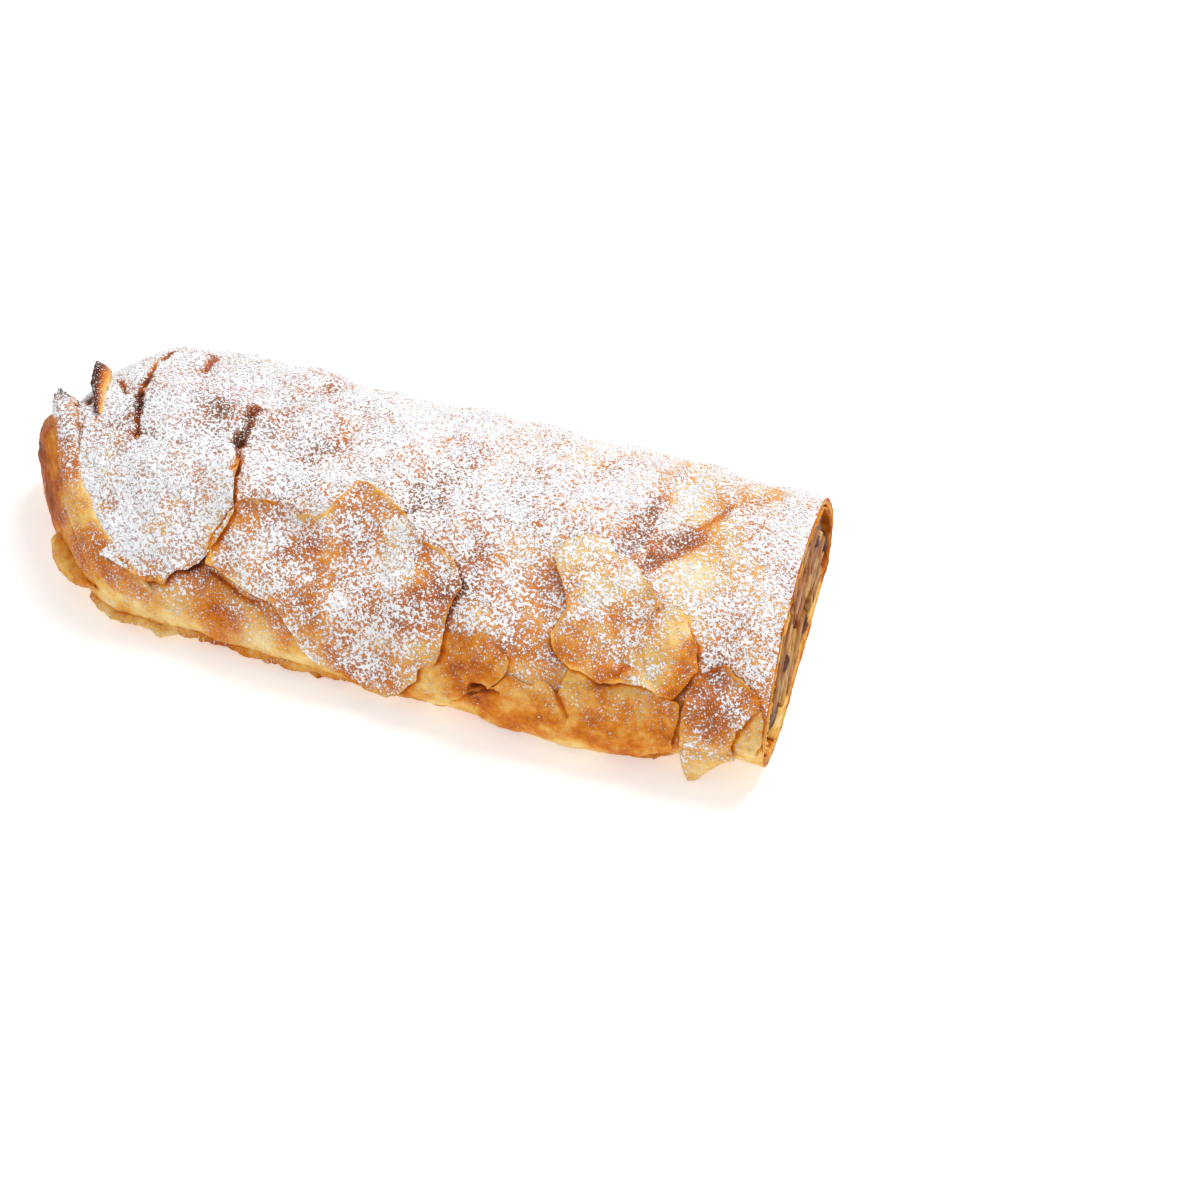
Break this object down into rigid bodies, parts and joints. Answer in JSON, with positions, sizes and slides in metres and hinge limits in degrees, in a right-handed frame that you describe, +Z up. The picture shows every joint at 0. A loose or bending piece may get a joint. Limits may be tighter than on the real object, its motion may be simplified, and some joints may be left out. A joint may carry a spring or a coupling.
{
  "type": "apple strudel",
  "caption": "Long apple strudel with a tucked end and a cut end: flaky browned dough under icing sugar, rolled round a filling of apple slices.",
  "frame": {"origin": "on the floor, under the middle of the part's box", "axes": "+X along the roll towards the cut end, -Y towards the thin sloping front side, +Z up from the flat underside"},
  "size_m": [0.2976, 0.126, 0.0544],
  "materials": {
    "baked_dough": "thin crisp baked dough, golden to brown, dusted with white icing sugar",
    "apple_filling": "moist cooked apple slices in cinnamon juice"
  },
  "bodies": {
    "root": {"crust": "baked_dough", "apple_filling": "apple_filling"}
  },
  "joints": []
}
